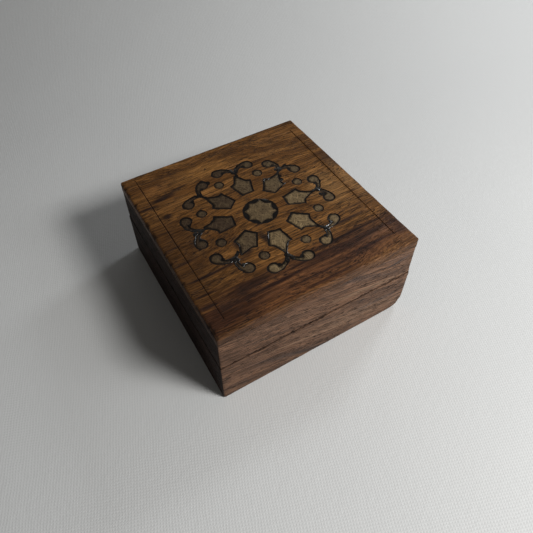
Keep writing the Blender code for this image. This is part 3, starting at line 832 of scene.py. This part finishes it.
bmesh.ops.remove_doubles(board, verts=board.verts[:], dist=0.004)
sharp, faces = points_and_faces(board)
points = wear_lid(sharp)
scored = np.where(sharp[:, 2] > TOP_FACE - 0.6, score_depth(sharp[:, :2]), 0.0)
on_top = (sharp[:, 2] > TOP_FACE - 0.6) & (np.abs(sharp[:, :2]) < 48.0).all(axis=1)
points[:, 2] -= on_top * TOP_HOLLOW * np.clip(wander(points, 17.0, 51.0), 0, 1)
moved = np.where(on_top, 0.0, np.linalg.norm(points - sharp, axis=1))

TOP_MARKS = (  # colour, strength, x, y, half length, half width, degrees, raggedness
    # A broad dark patch over the left part of the top, darkest at its left edge.
    ((0.056, 0.025, 0.009), 0.78, -51, -14, 31, 56, 0, 1.2),
    ((0.104, 0.042, 0.019), 0.84, 0, -44, 90, 14.5, 1, 0.7),
    ((0.032, 0.013, 0.008), 0.80, -44, -46, 26, 10, 2, 1),
    ((0.020, 0.009, 0.007), 0.95, -18, -41.2, 30, 1.3, 1, 0.5),
    ((0.020, 0.009, 0.007), 0.95, 22, -34.3, 28, 1.3, 2, 0.5),
    ((0.024, 0.010, 0.008), 0.90, -10, -50.2, 40, 1, 0, 0.5),
    ((0.024, 0.010, 0.008), 0.90, 30, -44.2, 22, 1.3, 1, 0.5),
    ((0.022, 0.010, 0.008), 0.90, 4, -37.6, 24, 1.1, 2, 0.5),
    ((0.026, 0.012, 0.008), 0.92, -27, -36.5, 14, 5, 2, 1),
    ((0.030, 0.013, 0.009), 0.90, 27, -39, 32, 4.2, 2, 1.2),
    ((0.026, 0.012, 0.009), 0.75, 8, -46, 40, 0.9, 0, 1),
    ((0.200, 0.080, 0.028), 0.50, -22, -49.5, 26, 1.8, 0, 1),
    ((0.200, 0.085, 0.036), 0.50, 2, -42.5, 24, 0.8, 1, 1),
    ((0.036, 0.016, 0.011), 0.80, 48, -40, 5, 10, 0, 0.8),
    ((0.022, 0.011, 0.008), 1.00, -37, 30.8, 10.5, 2, 4, 0.6),
    ((0.030, 0.015, 0.009), 0.90, -28, 33.5, 10, 1.1, 8, 0.6),
    ((0.026, 0.013, 0.009), 0.95, -46, 27.5, 8, 1.3, -3, 0.5),
    ((0.018, 0.009, 0.007), 1.00, -41, -23, 11, 1.25, 0, 0.4),
    ((0.034, 0.016, 0.010), 0.85, -30, -22.6, 11, 1, 0, 0.5),
    ((0.032, 0.015, 0.010), 0.90, 29, -26.4, 18, 1.1, 2, 0.5),
    ((0.060, 0.028, 0.014), 0.60, 40, -21, 15, 1.1, -2, 1),
    ((0.045, 0.021, 0.011), 0.65, -30, 45, 20, 0.8, 0, 1),
    ((0.050, 0.024, 0.012), 0.60, -34, 42, 14, 0.5, 1, 1),
    ((0.055, 0.026, 0.012), 0.60, 10, 47.5, 30, 0.8, 0, 1),
    ((0.022, 0.011, 0.008), 0.95, -40.3, 17.8, 2.4, 1.8, 10, 0.6),
    ((0.024, 0.012, 0.008), 0.85, -46, -12, 8, 0.9, 4, 0.5),
    ((0.024, 0.012, 0.008), 0.85, -45.5, -31.5, 7, 1, 0, 0.5),
    ((0.028, 0.014, 0.009), 0.75, -47, -2, 6, 0.8, 5, 0.5),
    ((0.028, 0.014, 0.009), 0.70, -46, 9, 7, 0.7, -4, 0.5),
    ((0.022, 0.011, 0.008), 0.85, -47, -37.5, 6, 1.3, 0, 0.5),
    ((0.050, 0.024, 0.012), 0.70, 49, 14, 5, 9, 0, 1),
    ((0.022, 0.012, 0.008), 0.95, -7.6, -17.5, 2.6, 6.5, 10, 0.5),
    ((0.028, 0.015, 0.010), 0.85, -20, -13, 2.6, 5, -20, 0.6),
    ((0.028, 0.015, 0.010), 0.85, -18.5, -19.5, 3.8, 3.2, 20, 0.7),
    ((0.034, 0.018, 0.011), 0.50, -36, -4, 2.5, 9, 10, 0.9),
    ((0.360, 0.170, 0.048), 0.50, -12, 39.5, 22, 6, 0, 1),
    ((0.330, 0.178, 0.066), 0.45, 36, -4, 12, 17, 0, 1),
    # A pale greyish line along the front arris of the top board: a painted highlight.
    ((0.110, 0.066, 0.048), 0.60, 0, -54.5, 90, 1.7, 0, 0.4),
    ((0.290, 0.130, 0.042), 0.40, -37, 38, 9, 4.5, 4, 1),
    ((0.330, 0.178, 0.070), 0.50, 48, -3, 3.5, 18, 0, 0.8),
    ((0.210, 0.095, 0.045), 0.50, 39, -41, 14, 2, 2, 1),
)

top_wood = wood_finish("top board wood", ALONG_X, (0.0, 0.0, 0.0), TOP_DARK, TOP_LIGHT, TOP_MARKS,
                       lambda x, y: (x, y, 50.0), roughness=0.40)
bruised = arris_nicks(points) * smooth_step(points[:, 2], TOP_FACE - 3.5, TOP_FACE - 1.0)
bruised *= 1 - smooth_step(points[:, 0] + BOX_HIGH[0], 0.9, 2.0)
top = mesh_piece("top_board", points, faces, top_wood, "lid", "top_wood", wear=moved,
                 broken=np.maximum(0.92 * smooth_step(scored, 0.04, 0.22), 0.85 * bruised))
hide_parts("lid_top_board")


# ---- Brass inlay ----
# An eight-pointed star, eight barbed leaves, sixteen comma scrolls and eight dots, sawn from thin
# brass sheet, pressed into the pockets, then filed roughly level and left to go brown.

BRASS_FACE = TOP_FACE - 0.10
BRASS_FOOT = POCKET_FLOOR + 0.05
BRASS_EDGE = ((0.0, 0.17), (0.05, 0.055), (0.16, 0.0))  # in from the edge, and down from the face
BRASS_GRID = 0.75  # between points on a plate's face
BRASS_LEAN = 0.0035  # how steeply plates lie out of level
SAW_WOBBLE = 0.05
FILE_STROKES = ((0.5, 3.0), (-0.9, 11.0), (1.35, 23.0))  # their angles, and shifts of the noise
BRASS_RELIEF = 0.00006


def brass_finish(name, dark, light, strokes):
    """Old brass: brown and cloudy, brighter where it was filed."""
    material, tree, shader, place = new_material(name)
    tone = layer(tree, "tone")
    clouds = cloud(tree, place, (0.26,) * 3, 4.0, 0.65)
    spots = cloud(tree, place, (0.9,) * 3, 4.0, 0.65)
    amount = total(tree, tone, (minus(tree, clouds, 0.5), 1.1))
    colour = blend(tree, spread(tree, amount, 0.1, 0.95), dark, light)
    colour = stain(tree, colour, spread(tree, spots, 0.50, 0.66), 0.75, shade(dark, 0.3))
    filed = 0.0
    for angle, offset in FILE_STROKES:
        turned = vector_calc(tree, "ADD", turned_by(tree, place, angle), (offset, offset, 0.0))
        lines = cloud(tree, turned, (0.16, 2.2, 0.2), 2.0, 0.5)
        filed = calc(tree, "MAXIMUM", filed, spread(tree, lines, 0.58, 0.66))
    shine = times(tree, filed, spread(tree, tone, 0.2, 1.0, 0.1, strokes))
    colour = blend(tree, shine, colour, shade(light, 2.3))
    colour = stain(tree, colour, layer(tree, "edge"), 0.8, shade(dark, 0.35))
    rough = total(tree, spread(tree, clouds, 0.3, 0.7, 0.62, 0.46), (shine, -0.14))
    feed(tree, shader, {"Base Color": colour, "Roughness": rough, "Metallic": 0.75})
    add_bump(tree, shader, total(tree, 0.0, (spots, 0.8), (filed, -0.6)), 0.5, BRASS_RELIEF)
    return material


def inlay_plate(outline, seed):
    """A sawn plate: points, faces and how near each point is to the edge."""
    rings = [moved_in(outline, inwards) for inwards, _ in BRASS_EDGE]
    count = len(outline)
    inner = rings[-1]
    low, high = outline.min(axis=0), outline.max(axis=0)
    grid = np.array([(x, y) for x in np.arange(low[0], high[0], BRASS_GRID)
                     for y in np.arange(low[1], high[1], BRASS_GRID)])
    grid = grid[within(grid, [inner]) & (distance_to(grid, [inner]) > 0.4)]
    flat, triangles, ring_numbers = triangulated([inner], [], grid)
    triangles = triangles[within(flat[triangles].mean(axis=1), [inner])]
    centre = outline.mean(axis=0)
    rng = np.random.default_rng(seed)
    lean = rng.normal(0.0, BRASS_LEAN, 2)

    def face_height(flat_points):
        at = at_height(flat_points, 0.0)
        wave = 0.022 * wander(at, 2.6, seed * 0.37) + 0.02 * wander(at, 7.0, seed * 0.11)
        return BRASS_FACE + wave + (flat_points - centre) @ lean

    points = [at_height(outline, BRASS_FOOT)]
    for ring, (_, drop) in zip(rings[:-1], BRASS_EDGE):
        points.append(at_height(ring, face_height(ring) - drop))
    first = count * len(points)
    points.append(at_height(flat, face_height(flat)))
    faces = [tuple(range(count))[::-1]]
    for row in range(len(rings)):
        for i in range(count):
            j = (i + 1) % count
            below = (row * count + i, row * count + j)
            if row + 1 < len(rings):
                faces.append((*below, (row + 1) * count + j, (row + 1) * count + i))
            else:
                faces.append((*below, first + ring_numbers[j], first + ring_numbers[i]))
    faces += [tuple(first + i for i in t) for t in triangles]
    points = np.concatenate(points)
    edge = 1 - smooth_step(distance_to(points[:, :2], [outline]), 0.1, 0.6)
    return points, faces, edge


brass = brass_finish("aged inlay brass", (0.080, 0.050, 0.030), (0.290, 0.205, 0.105), 0.55)
TONES = {  # how bright each plate has stayed, by its spoke from the right, anticlockwise
    "star": 0.55,
    "leaf": (0.70, 0.45, 0.45, 0.25, 0.15, 0.40, 0.75, 0.80),
    "scroll_left": (0.5, 0.4, 0.25, 0.2, 0.1, 0.35, 0.6, 0.6),
    "scroll_right": (0.45, 0.4, 0.3, 0.2, 0.1, 0.3, 0.7, 0.7),
    "dot": (0.5, 0.45, 0.4, 0.3, 0.2, 0.35, 0.5, 0.55),
}
brass_outlines = []


def close_tips(plate):
    """Fills the tiny gaps where a plate is too narrow for its eased edge."""
    sheet = bmesh.new()
    sheet.from_mesh(plate.data)
    gaps = [edge for edge in sheet.edges if edge.is_boundary]
    bmesh.ops.holes_fill(sheet, edges=gaps, sides=0)
    bmesh.ops.recalc_face_normals(sheet, faces=sheet.faces[:])
    sheet.to_mesh(plate.data)
    sheet.free()


def add_inlay(node, piece_name, tone):
    """Makes a plate over a CAD node, with its sawn edge a little uneven."""
    seed = len(brass_outlines) + 1
    low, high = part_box(node)
    (outline,) = flat_outlines(node, high[2] * 1000)
    outline = fine_outline(outline, OUTLINE_STEP)
    at = at_height(outline, seed * 3.0)
    outline = outline + SAW_WOBBLE * np.column_stack((wander(at, 1.5, 60.0), wander(at, 1.5, 70.0)))
    brass_outlines.append(outline)
    points, faces, edge = inlay_plate(outline, seed)
    piece = mesh_piece(piece_name, points, faces, brass, "lid", "inlay_brass",
                       edge=edge, tone=np.full(len(points), tone))
    close_tips(piece)
    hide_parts(node)


add_inlay("star_inlay", "brass_star", TONES["star"])
for spoke in range(1, 9):
    add_inlay(f"leaf_inlay_{spoke}", f"brass_leaf_{spoke}", TONES["leaf"][spoke - 1])
    add_inlay(f"dot_inlay_{spoke}", f"brass_dot_{spoke}", TONES["dot"][spoke - 1])
    for hand in ("left", "right"):
        add_inlay(f"scroll_inlay_{spoke}_{hand}", f"brass_scroll_{spoke}_{hand}",
                  TONES[f"scroll_{hand}"][spoke - 1])


# ---- Mastic ----
# Black lac, melted into the pockets to hold the brass. It stands up round the plates in glossy
# beads, thickest in the crooks of the scrolls.

MASTIC_STEP = 0.24
MASTIC_EDGE_STEP = 0.15
MASTIC_CLEAR = 0.09  # between its inner points and its edges
MASTIC_SINK = 0.02  # how far it lies under the wood where they meet
BEAD = -0.015  # how far it bulges between wood and brass
BEAD_SWELL = 0.26  # and how much more where it is swollen
BEAD_WAVES = 0.09
MASTIC_TOP = BOX_HIGH[2] - 0.01
MASTIC_DARK = (0.006, 0.0048, 0.0042)
MASTIC_DUSTY = (0.04, 0.030, 0.022)
MASTIC_RELIEF = 0.00014
SWOLLEN = (  # places where it stands proud: x, y, reach
    (4.3, 5, 2.2), (-33.4, -1, 4.2), (-1.5, -24.5, 3), (-4.8, -30.5, 3.2), (-25.6, -22.5, 4),
    (-24.2, -25.5, 2.4), (19.5, -26.3, 2.6), (22.5, -24.6, 2.2), (17.5, -28.3, 2), (0.8, 31.8, 2.2),
    (21.3, 20.3, 2.4), (18.8, 10, 2), (13.3, 16.6, 1.6), (-18.6, -14, 1.8), (-6.3, -16, 1.8),
    (30, -3.5, 2),
)

low, high = np.concatenate(pockets).min(axis=0), np.concatenate(pockets).max(axis=0)
grid = np.array([(x + (row % 2) * MASTIC_STEP / 2, y)
                 for row, y in enumerate(np.arange(low[1], high[1], MASTIC_STEP * 0.87))
                 for x in np.arange(low[0], high[0], MASTIC_STEP)])
grid = grid[covered(grid, pockets)]
grid = grid[~within(grid, brass_outlines)]
dense_pockets = [fine_outline(o, MASTIC_EDGE_STEP) for o in pockets]
dense_pockets = [o[~covered(o, pockets[:i] + pockets[i + 1:])] for i, o in enumerate(dense_pockets)]
dense_brass = [fine_outline(o, MASTIC_EDGE_STEP) for o in brass_outlines]
to_wood, to_brass = distance_to(grid, dense_pockets), distance_to(grid, dense_brass)
grid = grid[(to_wood > MASTIC_CLEAR) & (to_brass > MASTIC_CLEAR)]
flat, triangles, _ = triangulated(pockets + brass_outlines, [], grid)
middles = flat[triangles].mean(axis=1)
triangles = triangles[covered(middles, pockets) & ~within(middles, brass_outlines)]
used = np.unique(triangles)
number = np.full(len(flat), -1)
number[used] = np.arange(len(used))
flat, triangles = flat[used], number[triangles]
to_wood, to_brass = distance_to(flat, dense_pockets), distance_to(flat, dense_brass)
share = to_wood / np.maximum(to_wood + to_brass, 1e-6)
at = at_height(flat, 0.0)
swell = np.clip(0.9 * wander(at, 3.4, 81.0) - 0.35, 0.0, 0.5)
for x, y, reach in SWOLLEN:
    swell = np.maximum(swell, np.clip(1.5 - np.hypot(flat[:, 0] - x, flat[:, 1] - y) / reach, 0, 1))
bulge = 4 * share * (1 - share) * (1 + 0.5 * wander(at, 1.3, 83.0))
surface = TOP_FACE - MASTIC_SINK + share * (BRASS_FACE - TOP_FACE + MASTIC_SINK)
surface += bulge * (BEAD + BEAD_SWELL * swell)
surface += BEAD_WAVES * swell * wander(at, 1.5, 85.0)
surface = np.minimum(surface, MASTIC_TOP)
count = len(flat)
points = np.concatenate((at_height(flat, surface), at_height(flat, POCKET_FLOOR + MASTIC_SINK)))
faces = [tuple(t) for t in triangles] + [tuple(t[::-1] + count) for t in triangles]
ways = {(a, b) for t in triangles for a, b in zip(t, np.roll(t, -1))}
faces += [(b, a, a + count, b + count) for a, b in ways if (b, a) not in ways]

mastic, tree, shader, place = new_material("black mastic")
dirt = use_group(tree, dust_group, {"Place": place})
proud = layer(tree, "proud")
rough = total(tree, spread(tree, proud, 0.0, 0.6, 0.42, 0.22), (dirt["Dust"], 0.10))
feed(tree, shader, {"Base Color": stain(tree, MASTIC_DARK, dirt["Dust"], 0.20, MASTIC_DUSTY),
                    "Roughness": rough, "Specular IOR Level": 0.15,
                    "Coat Weight": spread(tree, proud, 0.0, 0.6), "Coat Roughness": 0.17})
add_bump(tree, shader, cloud(tree, place, (0.6,) * 3, 1.0), 0.5, MASTIC_RELIEF)
mesh_piece("mastic_fill", points, faces, mastic, "lid", "mastic", hard_angle=60.0,
           proud=np.tile(swell, 2))


# ---- Hinges ----
# Two small drawn-brass butt hinges, a leaf in each rim, three knuckles on a pin behind the back
# wall. Each leaf lies in a shallow seat and is held by two slotted countersunk screws.

SEAT_DEPTH = 1.1
SEAT_SLACK = 0.3
SEAT_OPEN = 1.0  # how far the cut runs out of the wall
HINGE_LENGTH = 20.0
LEAF_WIDTH = 5.0
HINGE_EDGE = 0.1
SHARP_EDGE = math.radians(32)

hinge_brass = brass_finish("hinge brass", (0.16, 0.11, 0.055), (0.42, 0.31, 0.15), 0.5)


def cut_seats(wall, owner):
    """Cuts the seats of both hinges into the rim of a back wall."""
    cutter = bmesh.new()
    rim = BASE_HEAD if owner == "base" else LID_FOOT
    into = -1 if owner == "base" else 1
    back = BOX_HIGH[1]
    for hand in ("left", "right"):
        low, high = (np.array(c) * 1000 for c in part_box(f"{hand}_hinge_{owner}_leaf"))
        middle = (low[0] + high[0]) / 2
        half = HINGE_LENGTH / 2 + SEAT_SLACK
        levels = sorted((rim - into, rim + into * SEAT_DEPTH))
        size = (2 * half, LEAF_WIDTH + SEAT_SLACK + SEAT_OPEN, levels[1] - levels[0])
        centre = (middle, back + SEAT_OPEN - size[1] / 2, sum(levels) / 2)
        made = bmesh.ops.create_cube(cutter, size=1.0)
        bmesh.ops.scale(cutter, vec=size, verts=made["verts"])
        bmesh.ops.translate(cutter, vec=centre, verts=made["verts"])
    bmesh.ops.scale(cutter, vec=(0.001,) * 3, verts=cutter.verts[:])
    mesh = bpy.data.meshes.new(f"{owner} seats")
    cutter.to_mesh(mesh)
    cutter.free()
    holder = add_object(f"{owner} seats", mesh)
    cut = wall.modifiers.new("seats", "BOOLEAN")
    cut.object = holder
    cut.solver = "EXACT"
    bpy.context.view_layer.update()
    graph = bpy.context.evaluated_depsgraph_get()
    result = bpy.data.meshes.new_from_object(wall.evaluated_get(graph))
    wall.modifiers.remove(cut)
    wall.data = result
    bpy.data.objects.remove(holder)


for owner in ("base", "lid"):
    cut_seats(bpy.data.objects[f"{owner}_back_board"], owner)


def refine(node, piece_name, body, soften):
    """A hinge piece with its edges softened."""
    shape = cad_shape(node)
    bmesh.ops.dissolve_limit(shape, angle_limit=0.01, verts=shape.verts[:], edges=shape.edges[:])
    sharp_edges = [e for e in shape.edges
                   if len(e.link_faces) == 2 and e.calc_face_angle(0.0) > SHARP_EDGE]
    bmesh.ops.bevel(shape, geom=sharp_edges, offset=soften, segments=2, profile=0.6,
                    affect="EDGES", clamp_overlap=True)
    points, faces = points_and_faces(shape)
    piece = mesh_piece(piece_name, points, faces, hinge_brass, body, "hinge_brass",
                       tone=np.full(len(points), 0.5), edge=np.zeros(len(points)))
    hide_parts(node)


for hand in ("left", "right"):
    for owner in ("base", "lid"):
        refine(f"{hand}_hinge_{owner}_leaf", f"{hand}_{owner}_hinge_plate", owner, HINGE_EDGE)
        for screw in (1, 2):
            refine(f"{hand}_hinge_{owner}_screw_{screw}", f"{hand}_{owner}_hinge_screw_{screw}",
                   owner, HINGE_EDGE / 2)
    refine(f"{hand}_hinge_pin", f"{hand}_hinge_rod", "base", HINGE_EDGE / 2)


# ---- Floor, light and camera ----
# A pale sheet under the box that curves up behind it, two soft windows and a small bright card on
# the right, and a faint warm fill from the room.

SHEET_FLAT = 130.0  # from the middle of the box to where the sheet starts to rise
SHEET_BEND = 520.0
SHEET_RISE = 900.0
SHEET_FRONT = -1200.0  # where it ends in front
SHEET_HALF_WIDTH = 1800.0
SHEET_COLUMNS = 9
SHEET_TURN = math.radians(-30)
SHEET_COLOURS = ((0.60, 0.61, 0.62), (0.68, 0.69, 0.69))
SHEET_RELIEF = 0.0003
THREAD_ANGLE = 0.35

floor_material, tree, shader, place = new_material("pale sheet")
colour = blend(tree, cloud(tree, place, (0.004,) * 3, 2.0), *SHEET_COLOURS)
feed(tree, shader, {"Base Color": colour, "Roughness": 0.6})
threads = []
for angle in (THREAD_ANGLE, THREAD_ANGLE + math.pi / 2):
    wave = {"Vector": turned_by(tree, place, angle), "Scale": 0.26, "Distortion": 3.5,
            "Detail": 2.0, "Detail Scale": 0.6}
    threads.append(add_node(tree, "ShaderNodeTexWave", wave, "Fac"))
weave = total(tree, calc(tree, "MAXIMUM", *threads), (cloud(tree, place, (0.35,) * 3, 4.0), 2.2),
              (cloud(tree, place, (0.02,) * 3, 2.0), 6.0))
add_bump(tree, shader, weave, 0.22, SHEET_RELIEF)

profile = [(SHEET_FRONT, 0.0), (SHEET_FLAT, 0.0)]
profile += [(SHEET_FLAT + SHEET_BEND * math.sin(a), SHEET_BEND - SHEET_BEND * math.cos(a))
            for a in np.linspace(0.05, 1.45, 28)]
profile.append((profile[-1][0] + 60.0, profile[-1][1] + SHEET_RISE))
across, back = math.cos(SHEET_TURN), math.sin(SHEET_TURN)
points = [(side * across - away * back, side * back + away * across, up) for away, up in profile
          for side in np.linspace(-SHEET_HALF_WIDTH, SHEET_HALF_WIDTH, SHEET_COLUMNS)]
corners = (0, 1, SHEET_COLUMNS + 1, SHEET_COLUMNS)
faces = [[row * SHEET_COLUMNS + column + corner for corner in corners]
         for row in range(len(profile) - 1) for column in range(SHEET_COLUMNS - 1)]
add_object("sheet", smooth_mesh("sheet", points, faces, floor_material))

LIGHTS = (  # name, place, aimed at and side in metres, then watts and colour
    ("window", (0.27, -0.46, 0.53), (0.24, -0.32, 0.0), 0.20, 4.7, (1.0, 0.985, 0.955)),
    ("bright card", (0.525, 0.175, 0.43), (0.0, 0.0, 0.0), 0.12, 0.72, (0.95, 0.98, 1.0)),
    ("side window", (0.54, -0.54, 0.56), (0.45, -0.30, 0.0), 0.26, 1.5, (0.96, 0.985, 1.0)),
)
for name, place, aim, side, watts, colour in LIGHTS:
    data = bpy.data.lights.new(name, "AREA")
    data.shape = "SQUARE"
    data.size = side
    data.energy = watts
    data.color = colour
    lamp = add_object(name, data)
    way = Vector(aim) - Vector(place)
    lamp.matrix_world = Matrix.Translation(place) @ way.to_track_quat("-Z", "Y").to_matrix().to_4x4()

bpy.context.scene.view_settings.view_transform = "Standard"
world = bpy.data.worlds.new("room")
bpy.context.scene.world = world
world.use_nodes = True
feed(world.node_tree, world.node_tree.nodes["Background"],
     {"Color": (1.0, 0.955, 0.89, 1.0), "Strength": 0.085})

CAMERA = {"sensor_width": 36.0, "lens": 35.383, "shift_x": 0.0281, "shift_y": -0.0597,
          "clip_start": 0.01}
CAMERA_PLACE = (-0.08844, -0.15297, 0.22497)
CAMERA_TURN = ((0.86667, 0.38093, -0.32214), (-0.49838, 0.63207, -0.59338),
               (-0.02242, 0.67481, 0.73765))
camera_data = bpy.data.cameras.new("camera")
for setting, value in CAMERA.items():
    setattr(camera_data, setting, value)
camera = add_object("camera", camera_data)
camera.matrix_world = Matrix.Translation(Vector(CAMERA_PLACE)) @ Matrix(CAMERA_TURN).to_4x4()
bpy.context.scene.camera = camera
